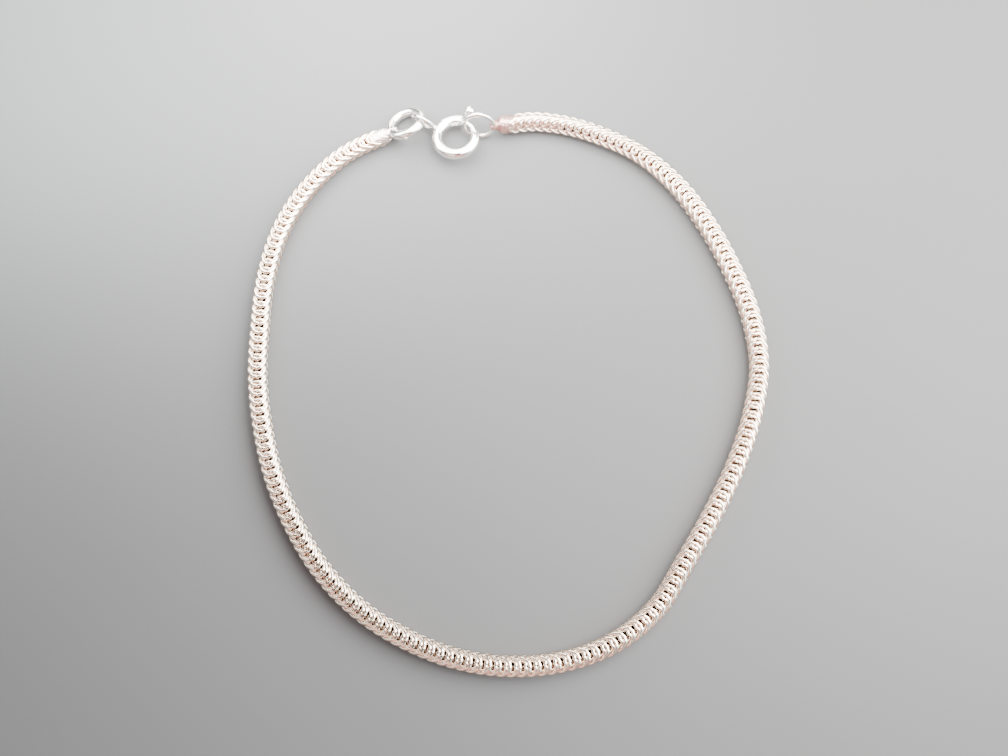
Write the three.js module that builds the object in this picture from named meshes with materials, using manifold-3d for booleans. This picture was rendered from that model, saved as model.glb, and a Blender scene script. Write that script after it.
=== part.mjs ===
// Foxtail (wheat) chain bracelet, closed with a bolt ring and lying on a flat surface.
// Millimetres, +Z up, the chain rests on z = 0 and the wrist hollow is along Z.
import * as THREE from 'three';
import { mergeVertices } from 'three/addons/utils/BufferGeometryUtils.js';
import Module from 'manifold-3d';

const wasm = await Module();
wasm.setup();

// ---------------------------------------------------------------- driving sizes

const CHAIN_WIDTH = 2.08;
const CHAIN_HEIGHT = 1.9;
const CHAIN_CORNER = 0.55; // chamfer that turns the square section into an octagon
const CHAIN_STEPS = 66; // a step about every 2.5 mm
const LAY = CHAIN_HEIGHT / 2; // centre height of the chain where it lies flat

// Route of the chain's centre line, anticlockwise from its blunt end to its soldered tip.
const ROUTE = [
  [-13.0, 27.6, 1.3], [-14.45, 27.1, 1.12], [-16.6, 26.2, 0.99], [-19.1, 24.6, 0.955],
  [-22.8, 20.6, LAY], [-25.3, 15.8, LAY], [-26.5, 10.4, LAY], [-26.75, 4.9, LAY],
  [-26.6, -0.6, LAY], [-25.7, -6, LAY], [-24.1, -11.3, LAY], [-21.7, -16.2, LAY],
  [-18.6, -20.7, LAY], [-14.6, -24.5, LAY], [-9.9, -27.3, LAY], [-4.7, -29.2, LAY],
  [0.7, -29.92, LAY], [6.1, -29.4, LAY], [11.3, -27.5, LAY], [15.6, -24.1, LAY], [18.6, -19.5, LAY],
  [21.4, -14.8, LAY], [23.9, -9.9, LAY], [25.8, -4.7, LAY], [26.75, 0.7, LAY], [26.1, 6.1, LAY],
  [24.3, 11.3, LAY], [21.9, 16.2, LAY], [18.8, 20.8, LAY], [14.8, 24.6, LAY], [9.9, 27.1, LAY],
  [6.1, 28.3, 0.955], [3, 28.7, 0.99], [0.9, 28.53, 1.15], [-0.85, 28.17, 1.55],
];

const RUNNING_GAP = 0.08; // clearance between linked rings and what they pass through
const CUT_OVERRUN = 3; // degrees that a cut runs past the end it opens

// Each ring lies in its own XY plane: centre, tilts about X and Y, and centre-line radius.
const BOLT_RING = { centre: [-5.65, 26.9, 1.35], tilt: [-6.7, 0], radius: 2.15, wire: 0.6 };
const CONNECTOR = { centre: [-11.37, 28.63, 1.54], tilt: [-24, -16.5], radius: 1.92, wire: 0.5 };
const JUMP_RING = { centre: [-3.1, 28.0, 1.93], tilt: [75, 0], radius: 1.7, wire: 0.25 };

// The bolt ring's gate runs from the socket end to the mouth, in degrees round the ring.
const SOCKET_END = 13;
const MOUTH = 75;
const SOCKET_DEPTH = 9;
const BORE_RADIUS = 0.38;
const BORE_END = 235;
const BOLT_RADIUS = 0.3;
const BOLT_TIP = 6;
const BOLT_TAIL = 105;
const BOLT_TRAVEL = 62;

const TRIGGER_ANGLE = 61;
const TRIGGER_LEAN = 43; // degrees out of the ring's plane
const TRIGGER_PIN = 0.2;
const TRIGGER_REACH = 1.36; // bolt centre line to the middle of the knob
const KNOB_RADIUS = 0.6;
const NECK_RADIUS = 0.37;
const NECK_CLEARANCE = 0.12; // neck above the bolt ring's shell
const SLOT_CLEARANCE = 0.07;
const SLOT_END = TRIGGER_ANGLE + BOLT_TRAVEL + 8;

// Attachment loop: where it is soldered on, its ring sizes, and the way it points.
const ATTACH_LOOP = {
  angle: 154, reach: 2.88, radius: 1.3, wire: 0.23, bearing: 160.5, rise: 28, roll: -15.5,
};

// Solder bead on the connector's outer edge.
const BEAD_RADIUS = 0.26;
const BEAD_ANGLE = -87;
const BEAD_OUT = 0.36;
const BEAD_DROP = -0.2;

const END_STUB = 0.004; // share of the route that each chain end starts from
const EYE_WALL = 0.2; // metal round the wire where a ring passes through a chain end
const EYE_HALF_LENGTH = 0.28;
const TIP_HALF_LENGTH = 0.22;

// ---------------------------------------------------------------- helpers

const radians = THREE.MathUtils.degToRad;

/** Welds a closed geometry into a manifold solid. */
function solid(geometry) {
  const bare = geometry.clone();
  bare.deleteAttribute('normal');
  bare.deleteAttribute('uv');
  const welded = mergeVertices(bare, 1e-4);
  const mesh = new wasm.Mesh({
    numProp: 3,
    vertProperties: new Float32Array(welded.attributes.position.array),
    triVerts: new Uint32Array(welded.index.array),
  });
  return new wasm.Manifold(mesh);
}

/** Turns a manifold solid back into three.js geometry. */
function geometryOf(manifold) {
  const mesh = manifold.getMesh();
  const geometry = new THREE.BufferGeometry();
  geometry.setAttribute('position', new THREE.BufferAttribute(mesh.vertProperties, 3));
  geometry.setIndex(new THREE.BufferAttribute(mesh.triVerts, 1));
  geometry.computeVertexNormals();
  return geometry;
}

/** Arc round the Z axis in the XY plane, from one angle to another in degrees. */
class ArcPath extends THREE.Curve {
  constructor(radius, from, to) {
    super();
    this.radius = radius;
    this.from = radians(from);
    this.to = radians(to);
  }

  getPoint(t, target = new THREE.Vector3()) {
    const angle = THREE.MathUtils.lerp(this.from, this.to, t);
    return target.set(this.radius * Math.cos(angle), this.radius * Math.sin(angle), 0);
  }
}

function roundSection(radius, sides) {
  const points = [];
  for (let i = 0; i < sides; i += 1) {
    const angle = (i * 2 * Math.PI) / sides;
    points.push(new THREE.Vector2(radius * Math.cos(angle), radius * Math.sin(angle)));
  }
  return new THREE.Shape(points);
}

/** Round bar bent along an arc of a ring. */
function arcBar(radius, wire, from, to, sides, steps) {
  const extrudePath = new ArcPath(radius, from, to);
  return new THREE.ExtrudeGeometry(roundSection(wire, sides), { steps, extrudePath, bevelEnabled: false });
}

function ringMatrix(ring) {
  const turn = new THREE.Euler(radians(ring.tilt[0]), radians(ring.tilt[1]), 0);
  const matrix = new THREE.Matrix4().makeRotationFromEuler(turn);
  return matrix.setPosition(...ring.centre);
}

function placeOnRing(mesh, ring) {
  mesh.position.set(...ring.centre);
  mesh.rotation.set(radians(ring.tilt[0]), radians(ring.tilt[1]), 0);
  return mesh;
}

function silver(name, roughness) {
  return new THREE.MeshStandardMaterial({ name, color: 0xe8e2da, roughness, metalness: 1 });
}

// ---------------------------------------------------------------- chain

/** Octagonal section of the chain: x is its height and y its width. */
function chainSection() {
  const h = CHAIN_HEIGHT / 2;
  const w = CHAIN_WIDTH / 2;
  const c = CHAIN_CORNER;
  const upper = [[h, w - c], [h - c, w], [c - h, w], [-h, w - c]];
  const lower = upper.map(([x, y]) => [-x, -y]);
  const corners = upper.concat(lower);
  return new THREE.Shape(corners.map(([x, y]) => new THREE.Vector2(x, y)));
}

/** Route whose sections all stand upright, so the chain's underside is level where it lies. */
class ChainPath extends THREE.CatmullRomCurve3 {
  computeFrenetFrames(segments) {
    const frames = { tangents: [], normals: [], binormals: [] };
    const vertical = new THREE.Vector3(0, 0, 1);
    for (let i = 0; i <= segments; i += 1) {
      const tangent = this.getTangentAt(i / segments);
      const side = new THREE.Vector3().crossVectors(tangent, vertical).normalize();
      frames.tangents.push(tangent);
      frames.normals.push(new THREE.Vector3().crossVectors(side, tangent));
      frames.binormals.push(side);
    }
    return frames;
  }
}

function chainTube(path, steps) {
  return solid(new THREE.ExtrudeGeometry(chainSection(), { steps, extrudePath: path, bevelEnabled: false }));
}

/** Short straight length of chain, from which an end piece starts. */
function chainStub(from, to) {
  return chainTube(new THREE.LineCurve3(from, to), 1);
}

/** Angle of a ring, in degrees, at which its wire is nearest to a point. */
function nearestAngle(ring, point) {
  const local = point.clone().applyMatrix4(ringMatrix(ring).invert());
  return THREE.MathUtils.radToDeg(Math.atan2(local.y, local.x));
}

/** Solid eye round a ring's wire, centred where the wire is nearest to a point. */
function eyeBlock(ring, point, wall, halfLength) {
  const half = THREE.MathUtils.radToDeg(halfLength / ring.radius);
  const middle = nearestAngle(ring, point);
  const bar = arcBar(ring.radius, ring.wire + RUNNING_GAP + wall, middle - half, middle + half, 12, 4);
  return solid(bar.applyMatrix4(ringMatrix(ring)));
}

/** The way that a ring needs through a chain end. */
function ringPassage(ring) {
  const torus = new THREE.TorusGeometry(ring.radius, ring.wire + RUNNING_GAP, 14, 48);
  return solid(torus.applyMatrix4(ringMatrix(ring)));
}

function foxtailChain() {
  const points = ROUTE.map((p) => new THREE.Vector3(...p));
  const path = new ChainPath(points);
  const bluntEnd = path.getPoint(0);
  const tipEnd = path.getPoint(1);
  const tube = chainTube(path, CHAIN_STEPS);

  const bluntStub = chainStub(path.getPointAt(END_STUB), bluntEnd);
  const bluntEye = eyeBlock(CONNECTOR, bluntEnd, EYE_WALL, EYE_HALF_LENGTH);
  const blunt = wasm.Manifold.hull([bluntStub, bluntEye]);

  const tipStub = chainStub(path.getPointAt(1 - END_STUB), tipEnd);
  const tipEye = eyeBlock(JUMP_RING, tipEnd, EYE_WALL, TIP_HALF_LENGTH);
  const tip = wasm.Manifold.hull([tipStub, tipEye]);

  const whole = tube.add(blunt).add(tip);
  return geometryOf(whole.subtract(ringPassage(CONNECTOR)).subtract(ringPassage(JUMP_RING)));
}

// ---------------------------------------------------------------- rings

function connectorRing() {
  const ring = solid(new THREE.TorusGeometry(CONNECTOR.radius, CONNECTOR.wire, 16, 48));
  const outside = CONNECTOR.radius + BEAD_OUT;
  const angle = radians(BEAD_ANGLE);
  const bead = new THREE.SphereGeometry(BEAD_RADIUS, 12, 8);
  bead.translate(outside * Math.cos(angle), outside * Math.sin(angle), BEAD_DROP);
  return geometryOf(ring.add(solid(bead)));
}

function jumpRing() {
  return new THREE.TorusGeometry(JUMP_RING.radius, JUMP_RING.wire, 12, 40);
}

// ---------------------------------------------------------------- bolt ring clasp

/** Cutter for the slot that the trigger runs in, leaning out of the ring's plane. */
function slotCutter() {
  const lean = radians(TRIGGER_LEAN);
  const half = TRIGGER_PIN + SLOT_CLEARANCE;
  const deep = BOLT_RING.wire * 1.5;
  const outward = new THREE.Vector2(-Math.sin(lean), -Math.cos(lean));
  const across = new THREE.Vector2(-outward.y, outward.x);
  const corner = (along, side) => outward.clone().multiplyScalar(along).addScaledVector(across, side);
  const shape = new THREE.Shape([corner(0, -half), corner(deep, -half), corner(deep, half), corner(0, half)]);
  const extrudePath = new ArcPath(BOLT_RING.radius, MOUTH - CUT_OVERRUN, SLOT_END);
  return solid(new THREE.ExtrudeGeometry(shape, { steps: 16, extrudePath, bevelEnabled: false }));
}

/** Small closed loop soldered to the outside of the bolt ring. */
function attachLoop() {
  const loop = new THREE.TorusGeometry(ATTACH_LOOP.radius, ATTACH_LOOP.wire, 12, 32);
  loop.rotateX(radians(90 + ATTACH_LOOP.roll));
  loop.translate(ATTACH_LOOP.radius, 0, 0);
  loop.rotateY(radians(-ATTACH_LOOP.rise));
  loop.rotateZ(radians(ATTACH_LOOP.bearing));
  const angle = radians(ATTACH_LOOP.angle);
  loop.translate(ATTACH_LOOP.reach * Math.cos(angle), ATTACH_LOOP.reach * Math.sin(angle), 0);
  return solid(loop);
}

function boltRing() {
  const { radius, wire } = BOLT_RING;
  const shell = solid(arcBar(radius, wire, MOUTH, SOCKET_END + 360, 16, 44));
  const bore = solid(arcBar(radius, BORE_RADIUS, MOUTH - CUT_OVERRUN, BORE_END, 12, 24));
  const socketFloor = SOCKET_END - SOCKET_DEPTH;
  const socket = solid(arcBar(radius, BORE_RADIUS, socketFloor, SOCKET_END + CUT_OVERRUN, 12, 3));
  return geometryOf(shell.add(attachLoop()).subtract(bore).subtract(socket).subtract(slotCutter()));
}

/** Trigger along +X: pin through the slot, neck and round knob. */
function trigger() {
  const neckFoot = BOLT_RING.wire + NECK_CLEARANCE;
  const profile = [new THREE.Vector2(0, 0), new THREE.Vector2(TRIGGER_PIN, 0)];
  profile.push(new THREE.Vector2(TRIGGER_PIN, neckFoot), new THREE.Vector2(NECK_RADIUS, neckFoot));
  const knobFoot = -Math.acos(NECK_RADIUS / KNOB_RADIUS);
  const rows = 8;
  for (let i = 0; i < rows; i += 1) {
    const angle = THREE.MathUtils.lerp(knobFoot, Math.PI / 2, i / rows);
    const out = KNOB_RADIUS * Math.cos(angle);
    profile.push(new THREE.Vector2(out, TRIGGER_REACH + KNOB_RADIUS * Math.sin(angle)));
  }
  profile.push(new THREE.Vector2(0, TRIGGER_REACH + KNOB_RADIUS));
  return new THREE.LatheGeometry(profile, 16).rotateZ(-Math.PI / 2);
}

function springBolt() {
  const { radius } = BOLT_RING;
  const bar = solid(arcBar(radius, BOLT_RADIUS, BOLT_TIP, BOLT_TAIL, 12, 20));
  const handle = trigger();
  handle.rotateY(radians(-TRIGGER_LEAN));
  handle.translate(radius, 0, 0);
  handle.rotateZ(radians(TRIGGER_ANGLE));
  return geometryOf(bar.add(solid(handle)));
}

// ---------------------------------------------------------------- assembly

function named(name, geometry, material) {
  const mesh = new THREE.Mesh(geometry, material);
  mesh.name = name;
  return mesh;
}

const bracelet = new THREE.Group();
bracelet.add(named('foxtail_chain', foxtailChain(), silver('chain_silver', 0.3)));
bracelet.add(placeOnRing(named('connector_ring', connectorRing(), silver('ring_silver', 0.2)), CONNECTOR));
bracelet.add(placeOnRing(named('jump_ring', jumpRing(), silver('ring_silver', 0.2)), JUMP_RING));

const clasp = placeOnRing(new THREE.Group(), BOLT_RING);
clasp.add(named('bolt_ring', boltRing(), silver('clasp_silver', 0.15)));
clasp.add(named('spring_bolt', springBolt(), silver('clasp_silver', 0.15)));
bracelet.add(clasp);

export default bracelet;
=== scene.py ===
"""Looks of the foxtail (wheat) chain bracelet with its bolt ring clasp, worked out in millimetres."""
import math

import bpy
import numpy as np
from mathutils import Matrix, Vector


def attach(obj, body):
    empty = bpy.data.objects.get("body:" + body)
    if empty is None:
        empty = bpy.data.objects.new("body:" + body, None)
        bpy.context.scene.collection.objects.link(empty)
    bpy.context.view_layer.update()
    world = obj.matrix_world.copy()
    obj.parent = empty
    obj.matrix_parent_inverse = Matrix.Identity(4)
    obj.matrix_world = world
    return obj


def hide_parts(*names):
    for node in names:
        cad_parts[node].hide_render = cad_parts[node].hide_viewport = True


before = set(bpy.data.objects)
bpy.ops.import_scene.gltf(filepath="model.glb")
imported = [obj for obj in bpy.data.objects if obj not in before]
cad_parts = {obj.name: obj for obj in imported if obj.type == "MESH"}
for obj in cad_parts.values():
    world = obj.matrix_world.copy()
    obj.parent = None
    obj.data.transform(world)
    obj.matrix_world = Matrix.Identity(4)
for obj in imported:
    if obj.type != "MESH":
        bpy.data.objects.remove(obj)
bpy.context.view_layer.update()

MM = 0.001

# ------------------------------------------------------------------ the chain, in millimetres

# The chain's centre line in metres, from its blunt end to its soldered tip, as in the solid.
ROUTE = [
    (-0.0130, 0.0276, 0.0013), (-0.01445, 0.0271, 0.00112), (-0.0166, 0.0262, 0.00099),
    (-0.0191, 0.0246, 0.000955), (-0.0228, 0.0206, 0.00095), (-0.0253, 0.0158, 0.00095),
    (-0.0265, 0.0104, 0.00095), (-0.02675, 0.0049, 0.00095), (-0.0266, -0.0006, 0.00095),
    (-0.0257, -0.0060, 0.00095), (-0.0241, -0.0113, 0.00095), (-0.0217, -0.0162, 0.00095),
    (-0.0186, -0.0207, 0.00095), (-0.0146, -0.0245, 0.00095), (-0.0099, -0.0273, 0.00095),
    (-0.0047, -0.0292, 0.00095), (0.0007, -0.02992, 0.00095), (0.0061, -0.0294, 0.00095),
    (0.0113, -0.0275, 0.00095), (0.0156, -0.0241, 0.00095), (0.0186, -0.0195, 0.00095),
    (0.0214, -0.0148, 0.00095), (0.0239, -0.0099, 0.00095), (0.0258, -0.0047, 0.00095),
    (0.02675, 0.0007, 0.00095), (0.0261, 0.0061, 0.00095), (0.0243, 0.0113, 0.00095),
    (0.0219, 0.0162, 0.00095), (0.0188, 0.0208, 0.00095), (0.0148, 0.0246, 0.00095),
    (0.0099, 0.0271, 0.00095), (0.0061, 0.0283, 0.000955), (0.0030, 0.0287, 0.00099),
    (0.0009, 0.02853, 0.00115), (-0.00085, 0.02817, 0.00155),
]

CHAIN_WIDTH = 2.08
CHAIN_HEIGHT = 1.9
CHAIN_ROUND = 0.55  # radius of the chain's corners

# How far the chain has rolled towards the inside of the loop: (share of its length, degrees).
ROLL = [
    (0.0, 8), (0.13, 8), (0.18, 12), (0.35, 4), (0.52, 2), (0.6, 6), (0.7, 11), (0.77, 8),
    (0.85, 8), (0.91, 30), (0.96, 48), (1.0, 54),
]

# Size of the links' section, which is a little smaller near both ends: (share of its length, size).
GIRTH = [
    (0.0, 0.83), (0.07, 0.89), (0.13, 0.97), (0.2, 1.0), (0.86, 1.0), (0.94, 0.91), (1.0, 0.91),
]

PITCH = 0.985  # from one crest to the next on the same side
FIRST_CREST = 2.0  # clear of the solder at the blunt end
LAST_CREST = 1.05  # before the end of the route

# A folded link: two wires side by side, which cross the chain at the crest and sweep back below it.
WIRE = 0.37
ARM_SPACING = PITCH / 2
PINCH_SPACING = 0.33  # between the two wires beside the crest
PINCH_REACH = 0.65
CREST_HOLE = 0.19  # how much further apart they are right at the crest
CREST_HOLE_REACH = 0.12
CREST_HALF = 0.45  # the crest runs straight across for this far to each side
CREST_BEND = 0.05
LEAN = 1.5  # how far a link sweeps back for each millimetre it goes down
LINK_GAP = 0.06  # from a link's ends to the middle of the other side
LINK_CAP = 0.14  # length of the rounded ends
CREST_STOPS = [0, 0.07, 0.14, 0.23, 0.34, 0.43, 0.5]  # a link's points beside its crest
ARM_START = 0.6
ARM_STOPS = 7
CAP_STOPS = 5

# Dips of a link's wires under the chain's skin: a short one beside the crest, one of the rear wire
# from there on down, and one of both wires on the chain's sides.
SHOULDER = {"middle": 0.67, "reach": 0.16, "depth": 0.08}
REAR_DIP = {"start": 0.25, "length": 0.3, "depth": 0.16}
SIDE_DIP = {"start": 1.1, "length": 0.3, "depth": 0.08}

# The wire's section as (outward, along) shares of its radius: drawn flat on its outer side.
WIRE_SECTION = np.array([
    (0.72, 0.62), (0.2, 0.98), (-0.5, 0.87), (-0.95, 0.3),
    (-0.95, -0.3), (-0.5, -0.87), (0.2, -0.98), (0.72, -0.62),
])
WIRE_TOP = WIRE_SECTION[0, 0] * WIRE / 2

# The wires that cross inside the links, as strands that turn round the centre line.
INNER_STRANDS = 4
INNER_REACH = 0.42  # from the centre line
INNER_RADIUS = 0.24
INNER_START = 1.2
INNER_END = 0.8  # before the end of the route
INNER_RECESS = 0.8  # how far they count as lying inside the chain, for their painted shade

# Solder at the chain's ends: (distance, width, height). The distances of the blunt end are from the
# start of the route, and those of the tip from its end. The tip's solder runs on inside the links.
BLUNT_END = [
    (-0.8, 0.45, 0.7), (-0.72, 0.75, 1.15), (-0.4, 0.9, 1.45), (0, 0.95, 1.6), (0.3, 1.0, 1.65),
    (0.5, 1.4, 1.6), (0.7, 1.58, 1.58), (1.2, 1.62, 1.55), (2.4, 1.5, 1.45),
]
TIP_END = [
    (-7.5, 0.7, 0.6), (-7.2, 1.2, 1.1), (-6.0, 1.4, 1.3), (-4.0, 1.45, 1.36), (-2.4, 1.6, 1.5),
    (-1.6, 1.72, 1.6), (-0.7, 1.84, 1.72), (-0.28, 1.76, 1.66), (0.0, 1.45, 1.5),
    (0.22, 0.98, 1.2), (0.6, 0.78, 1.02), (0.93, 0.68, 0.88), (1.03, 0.4, 0.5),
]
SOLDER_SIDES = 64
SOLDER_SQUARENESS = 0.72  # 1 would make the sections oval
LUMP_WAVES = ((9.1, 5.2, 7.0), (-6.7, 10.3, 4.9))
LUMP_HEIGHT = 0.035
PASSAGE = 0.04  # clearance round a ring's wire where it goes through a chain end

# ------------------------------------------------------------------ the rings, in millimetres

# Rings as in the solids: centre, tilts about X and Y in degrees, centre-line radius, wire radius.
BOLT_RING = {"centre": (-5.65, 26.9, 1.35), "tilt": (-6.7, 0), "radius": 2.15, "wire": 0.6}
CONNECTOR = {"centre": (-11.37, 28.63, 1.54), "tilt": (-24, -16.5), "radius": 1.92, "wire": 0.5}
JUMP_RING = {"centre": (-3.1, 28.0, 1.93), "tilt": (75, 0), "radius": 1.7, "wire": 0.25}

# The connector ring's bead of solder and filed flat: angles, and places outward and upward.
BEAD_ANGLE = -87
BEAD_PLACE = (0.36, -0.2)
BEAD_RADIUS = 0.26
FLAT_ANGLE = -84
FLAT_PLACE = (0.375, 0.28)
FLAT_FACING = (0.8, 0.6)

# Low swellings of solder.
BEAD_SOLDER = {"direction": (0, -1, -0.4), "height": 0.05, "spread": 0.4}
SEAM_ANGLE = 115
SEAM_SOLDER = {"direction": (0.3, -0.8, 0), "height": 0.04, "spread": 0.3}
LOOP_SOLDER = {"height": 0.12, "spread": 0.55}

# The bolt ring's gate and bolt, as in the solids. Angles are in degrees round the ring.
MOUTH = 75
SOCKET_END = 13
SOCKET_FLOOR = 4
BORE_END = 235
BORE_RADIUS = 0.38
LIP = 0.07  # rounding of the shell's rims
RIM_ROOM = {"bore": 2.5, "mouth": 4, "socket": 3}  # between the rims and the plain stretches
BOLT_RADIUS = 0.3
BOLT_TIP = 6
BOLT_TAIL = 105
TIP_LENGTH = 8  # degrees over which the bolt's tip is rounded
TIP_ROOM = 12  # degrees from the tip to the bolt's plain stretch
SLOT_END = 131
SLOT_OVERRUN = 3
SLOT_HALF_WIDTH = 0.27
SLOT_CUT = 1.5  # how far out the slot is cut, as a share of the shell's radius
TRIGGER_ANGLE = 61
TRIGGER_LEAN = 43
TRIGGER_PIN = 0.2
TRIGGER_REACH = 1.36  # from the bolt to the middle of its knob
NECK_FOOT = 0.72
NECK_RADIUS = 0.37
NECK_STEP = 0.01
NECK_BEVEL = 0.04
KNOB_RADIUS = 0.6
POLE = 88  # small balls stop just short of their poles, in degrees

# Mark of the tool that closed the bolt ring's end, with half its length and half its width.
CRIMP = {"angle": 98.5, "turn": 152, "length": 0.6, "width": 0.17, "depth": 0.07}
CRIMP_SQUARENESS = 8

# Small loop soldered to the outside of the bolt ring, thicker at its foot.
LOOP = {
    "angle": 154, "reach": 2.88, "radius": 1.3, "wire": 0.23,
    "bearing": 160.5, "rise": 28, "roll": -15.5, "foot": 0.14, "foot_reach": 0.5,
}

# ------------------------------------------------------------------ materials and light

# Scales of the noise that varies a surface, in periods per metre.
SILVER_CLOUDS = 260
SOLDER_CLOUDS = 1500
FLOOR_CLOUDS = 30
GRAIN = 2600

CLOUD_EDGES = (0.3, 0.62)
CLOUD_DIM = 0.86  # share of the tint that is left in the darker clouds
BLOTCH_LOSS = (0.2, 0.45, 0.5)  # red, green and blue that blotches of solder lose besides
ROUGH_SPREAD = 0.3
SILVER_BUMP = 0.15
SOLDER_BUMP = 0.6
# Brownish colour of the painted shade on the links' inward sides and on the inner strands.
PAINTED_SHADE_COLOUR = (0.44, 0.3, 0.2, 1)
PAINTED_SHADE_EDGES = (0.3, 0.85)  # the recess where the painted shade starts, and where it is full
FLOOR_SHADES = ((0.104, 0.102, 0.1, 1), (0.114, 0.112, 0.11, 1))
FLOOR_HALF = 2000

# Camera: the directions of the picture's right and up, its place in metres, and its lens.
CAMERA_RIGHT = (0.99773002, 0.01337984, -0.06599841)
CAMERA_UP = (0.0, 0.98006284, 0.19868794)
CAMERA_PLACE = (0.0065056, -0.0195509, 0.0944652)
CAMERA_LENS = 32.143

# Soft light of the room: the directions that it comes from, with their red, green and blue.
SKY = [
    ((1, 0, 0.09), (9, 12, 13.5)),
    ((0, -1, 0.09), (2.3, 1.0, 0.9)),
    ((-1, 0, 0.09), (1.5, 1.6, 1.8)),
]
SKY_FOCUS = 6
SKY_BASE = (0.12, 0.12, 0.12)

# Square light panels: name, place, the point that it faces, side, watts, colour.
PANELS = [
    ("clasp_panel", (-34, 58, 46), (-34, 78, 0), 84, 0.42, (0.93, 0.97, 1.0)),
    ("north_panel", (-10, 62, 22), (-8, 28, 0), 40, 0.06, (1.0, 0.97, 0.95)),
    ("east_panel", (64, 24, 70), (34, 24, 0), 110, 0.78, (0.98, 0.97, 0.97)),
    ("fill_panel", (-80, -90, 110), (-10, 0, 0), 120, 0.08, (1.0, 0.86, 0.84)),
]


# ------------------------------------------------------------------ camera

def make_camera():
    """The camera stands above the near side of the loop and looks down on it."""
    right, up = Vector(CAMERA_RIGHT), Vector(CAMERA_UP)
    data = bpy.data.cameras.new("camera")
    data.sensor_width = 36
    data.lens = CAMERA_LENS
    data.clip_start = 0.001
    camera = bpy.data.objects.new("camera", data)
    turn = Matrix((right, up, right.cross(up))).transposed().to_4x4()
    camera.matrix_world = Matrix.Translation(CAMERA_PLACE) @ turn
    bpy.context.collection.objects.link(camera)
    bpy.context.scene.camera = camera


# ------------------------------------------------------------------ curves and places

def unit(v):
    return v / np.linalg.norm(v, axis=-1, keepdims=True)


def hump(x, reach):
    """1 at 0, fading to nothing past the reach on both sides."""
    return np.exp(-((x / reach) ** 2))


def ramp(x, dip):
    """Depth that grows from nothing over a dip's length."""
    return dip["depth"] * np.clip((x - dip["start"]) / dip["length"], 0, 1)


def turned(angle, axis):
    """Turn by degrees about an axis."""
    return Matrix.Rotation(math.radians(angle), 4, axis)


def moved(vertices, matrix):
    turn = np.array(matrix.to_3x3())
    return vertices @ turn.T + np.array(matrix.translation)


def ring_place(ring):
    """Where a ring's own XY plane lies, in millimetres."""
    tilt_x, tilt_y = ring["tilt"]
    return Matrix.Translation(ring["centre"]) @ turned(tilt_x, "X") @ turned(tilt_y, "Y")


def circle(radius, sides=48):
    angle = np.arange(sides) * 2 * math.pi / sides
    return np.stack([radius * np.cos(angle), radius * np.sin(angle)], -1)


def arc_rows(radius, sections):
    """Rows of points round the Z axis from (angle, section) pairs.

    A section is a loop of (outward, upward) points from the arc's centre line.
    """
    rows = []
    for angle, section in sections:
        a = math.radians(angle)
        out = radius + section[:, 0]
        rows.append(np.stack([out * math.cos(a), out * math.sin(a), section[:, 1]], -1))
    return np.array(rows)


def on_arc(radius, angle, outward, upward):
    """Point of a ring's own frame."""
    return arc_rows(radius, [(angle, np.array([[outward, upward]]))])[0, 0]


def spline(points, count):
    """Centripetal Catmull-Rom curve through the points, with count steps from each to the next."""
    p = np.asarray(points, float)
    p = np.vstack([2 * p[0] - p[1], p, 2 * p[-1] - p[-2]])
    out = []
    for i in range(1, len(p) - 2):
        p0, p1, p2, p3 = p[i - 1 : i + 3]
        d0, d1, d2 = (np.linalg.norm(b - a) ** 0.5 for a, b in ((p0, p1), (p1, p2), (p2, p3)))
        t1 = ((p1 - p0) / d0 - (p2 - p0) / (d0 + d1) + (p2 - p1) / d1) * d1
        t2 = ((p2 - p1) / d1 - (p3 - p1) / (d1 + d2) + (p3 - p2) / d2) * d1
        t = np.linspace(0, 1, count, endpoint=False)[:, None]
        curve = (2 * t**3 - 3 * t**2 + 1) * p1 + (t**3 - 2 * t**2 + t) * t1
        out.append(curve + (3 * t**2 - 2 * t**3) * p2 + (t**3 - t**2) * t2)
    out.append(p[-2:-1])
    return np.vstack(out)


# ------------------------------------------------------------------ skins: vertices with their faces

def skin(rows, closed=False, turned_over=False):
    """Skin over rows of points, each row a loop: a closed ring of rows, or one with flat ends.

    turned_over is for a closed ring whose loops run the other way round, so that it faces outward.
    """
    rows = np.asarray(rows)
    count, sides = rows.shape[:2]
    i, j = np.meshgrid(np.arange(count if closed else count - 1), np.arange(sides), indexing="ij")
    here, after = i * sides, (i + 1) % count * sides
    beside = (j + 1) % sides
    quads = np.stack([here + j, after + j, after + beside, here + beside], -1)
    if turned_over:
        quads = quads[..., [0, 3, 2, 1]]
    faces = [tuple(quad) for quad in quads.reshape(-1, 4).tolist()]
    if not closed:
        faces.append(tuple(range(sides)))
        faces.append(tuple(range((count - 1) * sides, count * sides))[::-1])
    return rows.reshape(-1, 3), faces


def whole_ring(radius, wire, step, sides=48):
    """Closed ring of round wire in its own frame, with a section every few degrees."""
    section = circle(wire, sides)
    return skin(arc_rows(radius, [(angle, section) for angle in np.arange(0, 360, step)]), closed=True)


def ball(radius, sides=24):
    """Small ball with its poles on the X axis."""
    rows = []
    for tilt in np.radians(np.linspace(-POLE, POLE, 17)):
        ring = circle(radius * math.cos(tilt), sides)
        along = np.full(sides, radius * math.sin(tilt))
        rows.append(np.stack([along, ring[:, 1], ring[:, 0]], -1))
    return skin(rows)


def joined(*skins):
    """One skin from several."""
    vertices, faces, start = [], [], 0
    for points, loops in skins:
        vertices.append(points)
        faces.extend(tuple(start + k for k in loop) for loop in loops)
        start += len(points)
    return np.vstack(vertices), faces


def bulge(vertices, centre, direction, height, spread):
    """Raises the surface near a point, as solder does."""
    near = hump(np.linalg.norm(vertices - centre, axis=-1), spread)
    return vertices + np.asarray(direction) * (height * near)[:, None]


def off_angle(angle, middle):
    """Signed difference in radians between an angle in radians and a middle in degrees."""
    return np.radians((np.degrees(angle) - middle + 180) % 360 - 180)


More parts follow.
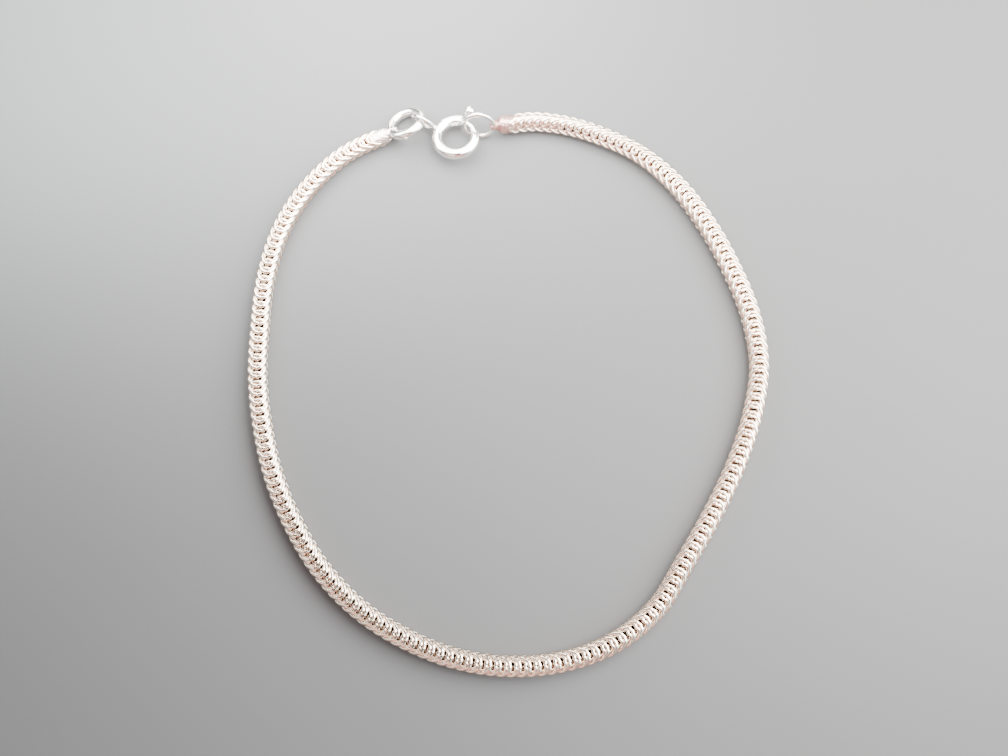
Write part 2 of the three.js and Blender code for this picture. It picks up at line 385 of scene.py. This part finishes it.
def pressed(vertices, radius, mark):
    """Presses a flat-bottomed mark into a ring's wire."""
    x, y, z = vertices.T
    out = np.hypot(x, y) - radius
    along = radius * off_angle(np.arctan2(y, x), mark["angle"])
    across = np.hypot(out, z) * off_angle(np.arctan2(z, out), mark["turn"])
    past_end, past_side = along / mark["length"], across / mark["width"]
    inside = 1 / (1 + past_end**CRIMP_SQUARENESS + past_side**CRIMP_SQUARENESS)
    toward = np.stack([-out * x / (out + radius), -out * y / (out + radius), -z], -1)
    return vertices + unit(toward) * (mark["depth"] * inside)[:, None]


def flattened(vertices, point, normal):
    """Files off what stands above a plane."""
    above = np.maximum((vertices - point) @ np.asarray(normal), 0)
    return vertices - above[:, None] * np.asarray(normal)


def cut(body, cutter):
    """A closed skin less another."""
    objects = []
    for vertices, faces in (body, cutter):
        mesh = bpy.data.meshes.new("cut")
        mesh.from_pydata(vertices.tolist(), [], faces)
        objects.append(bpy.data.objects.new("cut", mesh))
        bpy.context.collection.objects.link(objects[-1])
    modifier = objects[0].modifiers.new("cut", "BOOLEAN")
    modifier.operation = "DIFFERENCE"
    modifier.object = objects[1]
    evaluated = objects[0].evaluated_get(bpy.context.evaluated_depsgraph_get())
    mesh = bpy.data.meshes.new_from_object(evaluated)
    vertices = np.array([v.co for v in mesh.vertices])
    faces = [tuple(polygon.vertices) for polygon in mesh.polygons]
    for piece in objects:
        bpy.data.objects.remove(piece)
    return vertices, faces


def new_object(name, shape, material, smooth=True):
    """Object from a skin in millimetres."""
    vertices, faces = shape
    mesh = bpy.data.meshes.new(name)
    mesh.from_pydata(np.asarray(vertices).tolist(), [], faces)
    mesh.transform(Matrix.Scale(MM, 4))
    mesh.validate()
    if smooth:
        mesh.shade_smooth()
    mesh.materials.append(material)
    piece = bpy.data.objects.new(name, mesh)
    bpy.context.collection.objects.link(piece)
    return piece


# ------------------------------------------------------------------ the chain's route and section

class Route:
    """The chain's centre line with the frame that its links follow."""

    def __init__(self):
        self.points = spline(np.array(ROUTE) / MM, count=40)
        steps = np.linalg.norm(np.diff(self.points, axis=0), axis=1)
        self.along = np.concatenate([[0], np.cumsum(steps)])
        self.length = self.along[-1]
        self.tangents = unit(np.gradient(self.points, self.along, axis=0))

    def between(self, values, s):
        """Values along the route, worked out at distances s."""
        return np.stack([np.interp(s, self.along, values[:, i]) for i in range(3)], -1)

    def at(self, s):
        """Centre, inward and upward directions at distances s along the chain."""
        inside = np.clip(s, 0, self.length)
        tangent = unit(self.between(self.tangents, inside))
        centre = self.between(self.points, inside) + tangent * (s - inside)[..., None]
        roll = np.radians(np.interp(s / self.length, *zip(*ROLL)))
        side = unit(np.cross([0, 0, 1], tangent))
        top = np.cross(tangent, side)
        half_w, half_h = CHAIN_WIDTH / 2 - CHAIN_ROUND, CHAIN_HEIGHT / 2 - CHAIN_ROUND
        lowest = half_w * np.sin(roll) + half_h * np.cos(roll) + CHAIN_ROUND
        centre[..., 2] = np.maximum(centre[..., 2], lowest)
        c, k = np.cos(roll)[..., None], np.sin(roll)[..., None]
        return centre, side * c - top * k, top * c + side * k

    def girth(self, s):
        """Size of the links' section at distances s."""
        return np.interp(s / self.length, *zip(*GIRTH))


ROUTE_LINE = Route()

# Half the way round the section, along the line that the middles of the links' wires follow.
CORNER = CHAIN_ROUND - WIRE_TOP
HALF_ROUND = (CHAIN_WIDTH + CHAIN_HEIGHT) / 2 - 2 * WIRE_TOP - (2 - math.pi / 2) * CORNER


def section_point(q, depth):
    """Point on the chain's section, q round from the middle of its top and depth under its skin."""
    half_w = CHAIN_WIDTH / 2 - WIRE_TOP
    half_h = CHAIN_HEIGHT / 2 - WIRE_TOP
    flat = half_w - CORNER
    a = np.abs(q)
    angle = np.clip((a - flat) / CORNER, 0, math.pi / 2)
    down = np.maximum(a - flat - CORNER * math.pi / 2, 0)
    y = np.minimum(a, flat) + (CORNER - depth) * np.sin(angle)
    z = half_h - CORNER + (CORNER - depth) * np.cos(angle) - down
    return np.sign(q) * y, z


# ------------------------------------------------------------------ links

def sweep(q):
    """How far a link has swept back, q round from its crest."""
    return LEAN * CREST_BEND * np.log1p(np.exp((q - CREST_HALF) / CREST_BEND))


def spacing(q):
    """Distance along the chain between a link's two wires."""
    return ARM_SPACING - (ARM_SPACING - PINCH_SPACING) * hump(q, PINCH_REACH)


def link_shape():
    """One folded link as a closed line: distance along the chain, q round it, and depth."""
    cap_start = HALF_ROUND - LINK_GAP - LINK_CAP
    q_arm = np.concatenate([CREST_STOPS, np.linspace(ARM_START, cap_start, ARM_STOPS)])
    turn = np.linspace(0, math.pi, CAP_STOPS + 2)[1:-1]
    q_cap = cap_start + LINK_CAP * np.sin(turn)
    middle_arm = -sweep(q_arm) - spacing(q_arm) / 2
    middle_cap = -sweep(q_cap) - spacing(q_cap) / 2
    half = (spacing(q_arm) + CREST_HOLE * hump(q_arm, CREST_HOLE_REACH)) / 2
    cap = middle_cap + spacing(q_cap) / 2 * np.cos(turn)
    s = np.concatenate([middle_arm + half, cap, (middle_arm - half)[::-1]])
    q = np.concatenate([q_arm, q_cap, q_arm[::-1]])
    arm = np.ones(len(q_arm))
    rear = np.concatenate([0 * arm, np.linspace(0, 1, CAP_STOPS), arm])
    depth = rear * ramp(q, REAR_DIP) + ramp(q, SIDE_DIP)
    depth = depth + SHOULDER["depth"] * hump(q - SHOULDER["middle"], SHOULDER["reach"])
    s = np.concatenate([s, s[::-1][1:-1]])
    depth = np.concatenate([depth, depth[::-1][1:-1]])
    q = np.concatenate([q, -q[::-1][1:-1]])
    return s, q, depth


def link_wires(last, upside):
    """Every link on one side of the chain, from its last crest back, and its vertices' recess."""
    s, q, depth = link_shape()
    crests = np.arange(last, FIRST_CREST, -PITCH)
    y, z = section_point(q, depth)
    centre, side, top = ROUTE_LINE.at(crests[:, None] + s)
    offset = side * y[:, None] + top * (upside * z)[:, None]
    line = centre + offset * ROUTE_LINE.girth(crests)[:, None, None]
    tangent = unit(np.roll(line, -1, 1) - np.roll(line, 1, 1))
    outward = unit(offset)
    normal = unit(outward - tangent * (outward * tangent).sum(-1, keepdims=True))
    binormal = np.cross(tangent, normal)
    section = WIRE_SECTION * WIRE / 2
    rows = normal[:, :, None] * section[:, :1] + binormal[:, :, None] * section[:, 1:]
    rows = rows + line[:, :, None]
    # The inward side of each wire gets a recess value, which the chain's material darkens as painted
    # shade.
    inward = (WIRE_SECTION[0, 0] - WIRE_SECTION[:, 0]) / np.ptp(WIRE_SECTION[:, 0])
    recess = np.broadcast_to(inward, rows.shape[:3])
    skins = [skin(link, closed=True, turned_over=True) for link in rows]
    return joined(*skins), recess.reshape(-1)


def inner_wires():
    """The strands inside the links, and their vertices' recess."""
    s = np.arange(INNER_START, ROUTE_LINE.length - INNER_END, PITCH / 8)
    centre, side, top = ROUTE_LINE.at(s)
    reach = INNER_REACH * ROUTE_LINE.girth(s)[:, None]
    ring = circle(INNER_RADIUS, sides=6)
    skins = []
    for strand in range(INNER_STRANDS):
        turn = (s * math.pi / PITCH + strand * 2 * math.pi / INNER_STRANDS)[:, None]
        line = centre + reach * (side * np.cos(turn) + top * np.sin(turn))
        skins.append(skin(line[:, None] + side[:, None] * -ring[:, :1] + top[:, None] * ring[:, 1:]))
    vertices, faces = joined(*skins)
    return (vertices, faces), np.full(len(vertices), INNER_RECESS)


def chain_links(material):
    """The links whose crests are on top and below, and the wires inside them."""
    last = ROUTE_LINE.length - LAST_CREST
    shapes = {
        "top_links": link_wires(last, 1),
        "bottom_links": link_wires(last - PITCH / 2, -1),
        "inner_wires": inner_wires(),
    }
    for name, (shape, recess) in shapes.items():
        piece = new_object(name, shape, material)
        shade = piece.data.attributes.new("recess", "FLOAT", "POINT")
        shade.data.foreach_set("value", recess.astype(np.float32))
        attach(piece, "bracelet")
        if name == "top_links":
            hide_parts("foxtail_chain")


# ------------------------------------------------------------------ chain ends

def solder_section(s, width, height):
    """Loop of points round the chain, with soft corners and small lumps."""
    angle = np.arange(SOLDER_SIDES) * 2 * math.pi / SOLDER_SIDES
    across = np.sign(np.cos(angle)) * np.abs(np.cos(angle)) ** SOLDER_SQUARENESS
    upward = np.sign(np.sin(angle)) * np.abs(np.sin(angle)) ** SOLDER_SQUARENESS
    centre, side, top = ROUTE_LINE.at(np.array(s))
    out = np.outer(-across * width / 2, side) + np.outer(upward * height / 2, top)
    first, second = (np.sin((centre + out) @ wave) for wave in LUMP_WAVES)
    return centre + out * (1 + LUMP_HEIGHT * first * second)[:, None]


def chain_end(name, start, profile, ring, material):
    """Soldered end of the chain, with the way that its ring needs through it."""
    rows = [solder_section(start + s, width, height) for s, width, height in spline(profile, count=8)]
    vertices, faces = whole_ring(ring["radius"], ring["wire"] + PASSAGE, step=5, sides=24)
    passage = (moved(vertices, ring_place(ring)), faces)
    piece = new_object(name, cut(skin(rows), passage), material)
    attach(piece, "bracelet")


# ------------------------------------------------------------------ rings

def ring_piece(name, shape, ring, material, node, body="bracelet"):
    """Piece from a skin in a ring's own frame, which stands for a node of the frame."""
    vertices, faces = shape
    piece = new_object(name, (moved(vertices, ring_place(ring)), faces), material)
    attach(piece, body)
    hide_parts(node)


def connector_ring(material):
    """Thick soldered ring with a filed flat and a small bead of solder."""
    radius = CONNECTOR["radius"]
    vertices, faces = whole_ring(radius, CONNECTOR["wire"], step=2.5)
    bead = on_arc(radius, BEAD_ANGLE, *BEAD_PLACE)
    vertices = bulge(vertices, bead, **BEAD_SOLDER)
    facing = on_arc(0, FLAT_ANGLE, *FLAT_FACING)
    vertices = flattened(vertices, on_arc(radius, FLAT_ANGLE, *FLAT_PLACE), facing)
    bead_points, bead_faces = ball(BEAD_RADIUS)
    shape = joined((vertices, faces), (moved(bead_points, Matrix.Translation(bead)), bead_faces))
    ring_piece("connector_ring_look", shape, CONNECTOR, material, "connector_ring")


def jump_ring(material):
    """Thin ring with its soldered seam."""
    vertices, faces = whole_ring(JUMP_RING["radius"], JUMP_RING["wire"], step=3, sides=28)
    seam = on_arc(JUMP_RING["radius"], SEAM_ANGLE, 0, 0)
    shape = (bulge(vertices, seam, **SEAM_SOLDER), faces)
    ring_piece("jump_ring_look", shape, JUMP_RING, material, "jump_ring")


def shell_sections():
    """Sections of the bolt ring's shell: up its bore, round the mouth's rim, and back to the socket."""
    wall = BOLT_RING["wire"]
    socket = SOCKET_END + 360
    degrees_per_mm = math.degrees(1 / BOLT_RING["radius"])
    rim = []
    for t in np.linspace(0, math.pi, 9):
        depth = LIP - LIP * math.sin(t)
        rim.append((depth * degrees_per_mm, BORE_RADIUS + (wall - BORE_RADIUS) * t / math.pi))
    bore_angles = np.arange(BORE_END, MOUTH + RIM_ROOM["bore"], -4)
    shell_angles = np.arange(MOUTH + RIM_ROOM["mouth"], socket - RIM_ROOM["socket"], 1.5)
    sections = [(angle, circle(BORE_RADIUS)) for angle in bore_angles]
    sections += [(MOUTH + depth, circle(r)) for depth, r in rim]
    sections += [(angle, circle(wall)) for angle in shell_angles]
    sections += [(socket - depth, circle(r)) for depth, r in rim[::-1]]
    return sections + [(SOCKET_FLOOR + 360, circle(BORE_RADIUS))]


def slot_cutter():
    """Space that the trigger runs in."""
    lean = math.radians(TRIGGER_LEAN)
    outward = np.array([math.cos(lean), math.sin(lean)])
    across = np.array([-outward[1], outward[0]]) * SLOT_HALF_WIDTH
    deep = outward * BOLT_RING["wire"] * SLOT_CUT
    section = np.array([-across, deep - across, deep + across, across])
    angles = np.linspace(MOUTH - SLOT_OVERRUN, SLOT_END, 20)
    return skin(arc_rows(BOLT_RING["radius"], [(angle, section) for angle in angles]))


def attach_loop():
    """Small loop in the bolt ring's frame, thicker where it is soldered to the shell."""
    radius = LOOP["radius"]
    sections = []
    for angle in np.arange(0, 360, 4):
        from_foot = radius * math.radians(abs(angle - 180))
        wire = LOOP["wire"] + LOOP["foot"] * hump(from_foot, LOOP["foot_reach"])
        sections.append((angle, circle(wire, sides=28)))
    vertices, faces = skin(arc_rows(radius, sections), closed=True)
    place = Matrix.Translation(on_arc(0, LOOP["angle"], LOOP["reach"], 0))
    place = place @ turned(LOOP["bearing"], "Z") @ turned(-LOOP["rise"], "Y")
    place = place @ Matrix.Translation((radius, 0, 0)) @ turned(90 + LOOP["roll"], "X")
    return moved(vertices, place), faces


def bolt_ring(material):
    """Hollow shell with its slot, crimp mark and soldered loop."""
    radius = BOLT_RING["radius"]
    vertices, faces = skin(arc_rows(radius, shell_sections()))
    joint = on_arc(radius, LOOP["angle"], BOLT_RING["wire"], 0)
    vertices = bulge(vertices, joint, on_arc(0, LOOP["angle"], 1, 0), **LOOP_SOLDER)
    vertices = pressed(vertices, radius, CRIMP)
    shape = joined(cut((vertices, faces), slot_cutter()), attach_loop())
    ring_piece("bolt_ring_look", shape, BOLT_RING, material, "bolt_ring")


def trigger():
    """Pin, neck and round knob along X."""
    knob_foot = math.degrees(math.asin(NECK_RADIUS / KNOB_RADIUS)) - 90
    neck = NECK_FOOT + NECK_STEP
    profile = [(0, TRIGGER_PIN), (NECK_FOOT, TRIGGER_PIN)]
    profile += [(neck, NECK_RADIUS - NECK_BEVEL), (neck + NECK_BEVEL, NECK_RADIUS)]
    for tilt in np.radians(np.linspace(knob_foot, POLE, 18)):
        profile.append((TRIGGER_REACH + KNOB_RADIUS * math.sin(tilt), KNOB_RADIUS * math.cos(tilt)))
    rows = []
    for along, r in profile:
        ring = circle(r)
        rows.append(np.stack([np.full(len(ring), along), ring[:, 1], ring[:, 0]], -1))
    return skin(rows)


def spring_bolt(material):
    """Curved bolt with a rounded tip, and its trigger."""
    radius = BOLT_RING["radius"]
    sections = []
    for t in np.radians(np.linspace(3, 90, 8)):
        angle = BOLT_TIP + TIP_LENGTH * (1 - math.cos(t))
        sections.append((angle, circle(BOLT_RADIUS * math.sin(t))))
    bar_angles = np.arange(BOLT_TIP + TIP_ROOM, BOLT_TAIL + 1, 3)
    sections += [(angle, circle(BOLT_RADIUS)) for angle in bar_angles]
    place = turned(TRIGGER_ANGLE, "Z") @ Matrix.Translation((radius, 0, 0))
    vertices, faces = trigger()
    handle = (moved(vertices, place @ turned(-TRIGGER_LEAN, "Y")), faces)
    shape = joined(skin(arc_rows(radius, sections)), handle)
    ring_piece("spring_bolt_look", shape, BOLT_RING, material, "spring_bolt", "bolt")


# ------------------------------------------------------------------ materials

class Nodes:
    """A material's node tree, with its shader and the place on the object that its patterns follow."""

    def __init__(self, name):
        self.material = bpy.data.materials.new(name)
        self.material.use_nodes = True
        self.tree = self.material.node_tree
        self.shader = self.tree.nodes["Principled BSDF"]
        self.place = self.tree.nodes.new("ShaderNodeTexCoord").outputs["Object"]

    def link(self, output, socket):
        self.tree.links.new(output, socket)

    def noise(self, scale, detail=2):
        """Cloudy pattern of a scale, in periods per metre."""
        node = self.tree.nodes.new("ShaderNodeTexNoise")
        node.inputs["Scale"].default_value = scale
        node.inputs["Detail"].default_value = detail
        self.link(self.place, node.inputs["Vector"])
        return node.outputs["Fac"]

    def colours(self, value, dark, light, dark_at=0.0, light_at=1.0):
        """Colour that goes from dark to light with a value."""
        node = self.tree.nodes.new("ShaderNodeValToRGB")
        first, second = node.color_ramp.elements
        first.position, first.color = dark_at, dark
        second.position, second.color = light_at, light
        self.link(value, node.inputs["Fac"])
        return node.outputs["Color"]

    def spread(self, value, lowest, highest, start=0.0, end=1.0):
        """Number that goes from lowest to highest as a value goes from start to end."""
        node = self.tree.nodes.new("ShaderNodeMapRange")
        settings = {"From Min": start, "From Max": end, "To Min": lowest, "To Max": highest}
        for socket, number in settings.items():
            node.inputs[socket].default_value = number
        self.link(value, node.inputs["Value"])
        return node.outputs["Result"]


def painted_recess_shade(nodes, base, amount):
    """Base colour with painted shade, darkening where the recess attribute says that it faces into the
    chain.
    """
    recess = nodes.tree.nodes.new("ShaderNodeAttribute")
    recess.attribute_name = "recess"
    mix = nodes.tree.nodes.new("ShaderNodeMix")
    mix.data_type = "RGBA"
    first_colour, second_colour, mixed_colour = mix.inputs[6], mix.inputs[7], mix.outputs[2]
    share = nodes.spread(recess.outputs["Fac"], 0, amount, *PAINTED_SHADE_EDGES)
    nodes.link(share, mix.inputs["Factor"])
    nodes.link(base, first_colour)
    # Painted shade: the colour is mixed towards the brownish shade colour in the recesses.
    second_colour.default_value = PAINTED_SHADE_COLOUR
    return mixed_colour


def silver(name, tint, roughness, painted_shade=0.0, blotches=0.0, lumps=0.00002):
    """Polished silver with soft scratches, with painted shade darkening its recesses, or blotched red
    as solder.

    lumps is the height of its grain in metres.
    """
    nodes = Nodes(name)
    shader = nodes.shader
    shader.inputs["Metallic"].default_value = 1.0
    shade = [c * (CLOUD_DIM - loss * blotches) for c, loss in zip(tint, BLOTCH_LOSS)]
    cloud = nodes.noise(SOLDER_CLOUDS if blotches else SILVER_CLOUDS, detail=4)
    base = nodes.colours(cloud, (*shade, 1), (*tint, 1), *CLOUD_EDGES)
    # Recesses darkened with painted shade when asked for.
    if painted_shade:
        base = painted_recess_shade(nodes, base, painted_shade)
    nodes.link(base, shader.inputs["Base Color"])
    grain = nodes.noise(GRAIN, detail=3)
    rough = nodes.spread(grain, roughness * (1 - ROUGH_SPREAD), roughness * (1 + ROUGH_SPREAD))
    nodes.link(rough, shader.inputs["Roughness"])
    bump = nodes.tree.nodes.new("ShaderNodeBump")
    bump.inputs["Strength"].default_value = SOLDER_BUMP if blotches else SILVER_BUMP
    bump.inputs["Distance"].default_value = lumps
    nodes.link(grain, bump.inputs["Height"])
    nodes.link(bump.outputs["Normal"], shader.inputs["Normal"])
    return nodes.material


def floor_material():
    nodes = Nodes("pale_floor")
    nodes.shader.inputs["Roughness"].default_value = 0.9
    base = nodes.colours(nodes.noise(FLOOR_CLOUDS), *FLOOR_SHADES)
    nodes.link(base, nodes.shader.inputs["Base Color"])
    return nodes.material


# ------------------------------------------------------------------ stage

def make_floor():
    half = FLOOR_HALF
    corners = [(-half, -half, 0), (half, -half, 0), (half, half, 0), (-half, half, 0)]
    new_object("floor", (corners, [(0, 1, 2, 3)]), floor_material(), smooth=False)


def area_light(name, place, aim, size, power, colour):
    """Square panel that faces a point, all in millimetres."""
    data = bpy.data.lights.new(name, "AREA")
    data.energy = power
    data.size = size * MM
    data.color = colour
    light = bpy.data.objects.new(name, data)
    light.location = Vector(place) * MM
    light.rotation_euler = (Vector(aim) - Vector(place)).to_track_quat("-Z", "Y").to_euler()
    light.visible_camera = False
    bpy.context.collection.objects.link(light)


def make_world():
    """Dim room with soft light from low in the east and a little from the south and the west."""
    world = bpy.data.worlds.new("studio")
    world.use_nodes = True
    nodes, links = world.node_tree.nodes, world.node_tree.links
    place = nodes.new("ShaderNodeTexCoord")
    light = None
    for direction, colour in SKY:
        facing = nodes.new("ShaderNodeVectorMath")
        facing.operation = "DOT_PRODUCT"
        facing.inputs[1].default_value = Vector(direction).normalized()
        links.new(place.outputs["Generated"], facing.inputs[0])
        front = nodes.new("ShaderNodeMath")
        front.operation = "MAXIMUM"
        front.inputs[1].default_value = 0
        links.new(facing.outputs["Value"], front.inputs[0])
        lobe = nodes.new("ShaderNodeMath")
        lobe.operation = "POWER"
        lobe.inputs[1].default_value = SKY_FOCUS
        links.new(front.outputs["Value"], lobe.inputs[0])
        glow = nodes.new("ShaderNodeVectorMath")
        glow.operation = "MULTIPLY_ADD"
        glow.inputs[1].default_value = colour
        glow.inputs[2].default_value = SKY_BASE
        links.new(lobe.outputs["Value"], glow.inputs[0])
        if light:
            links.new(light.outputs["Vector"], glow.inputs[2])
        light = glow
    links.new(light.outputs["Vector"], nodes["Background"].inputs["Color"])
    bpy.context.scene.world = world


# ------------------------------------------------------------------ build

make_camera()
make_floor()
make_world()
for panel in PANELS:
    area_light(*panel)

# The chain's links carry painted shade on their inward sides and inner strands.
chain_silver = silver("chain_silver_look", (0.98, 0.79, 0.63), 0.22, painted_shade=0.85)
pale_solder = silver("pale_solder_look", (0.93, 0.82, 0.74), 0.35, blotches=0.4, lumps=0.00005)
pink_solder = silver("pink_solder_look", (0.62, 0.41, 0.35), 0.4, blotches=0.8, lumps=0.00006)
ring_silver = silver("ring_silver_look", (0.97, 0.93, 0.86), 0.2)
clasp_silver = silver("clasp_silver_look", (0.97, 0.94, 0.88), 0.15)

chain_links(chain_silver)
chain_end("blunt_end", 0, BLUNT_END, CONNECTOR, pale_solder)
chain_end("tip_end", ROUTE_LINE.length, TIP_END, JUMP_RING, pink_solder)
connector_ring(ring_silver)
jump_ring(ring_silver)
bolt_ring(clasp_silver)
spring_bolt(clasp_silver)
